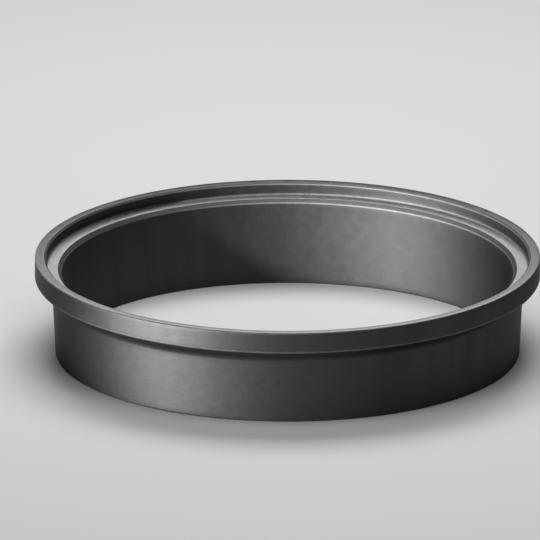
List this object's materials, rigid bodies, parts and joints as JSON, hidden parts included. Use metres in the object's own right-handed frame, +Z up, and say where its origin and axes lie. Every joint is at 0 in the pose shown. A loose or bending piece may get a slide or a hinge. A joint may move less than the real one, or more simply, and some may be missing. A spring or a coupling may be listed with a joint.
{
  "type": "drain riser ring",
  "caption": "Round cast iron riser ring for a drain: a recessed seat for a cover, a wide band and a tapered skirt round an open bore.",
  "frame": {"origin": "centre of the foot, on the axis of the bore, where the ring stands on the floor", "axes": "+Z up along the bore's axis, from the foot towards the recess for the cover; X and Y are alike, because the ring is turned about Z"},
  "size_m": [0.508, 0.508, 0.1],
  "materials": {
    "coated_cast_iron": "sand cast grey iron with a thin black dip coating, satin"
  },
  "bodies": {
    "root": {"riser_ring": "coated_cast_iron"}
  },
  "joints": []
}
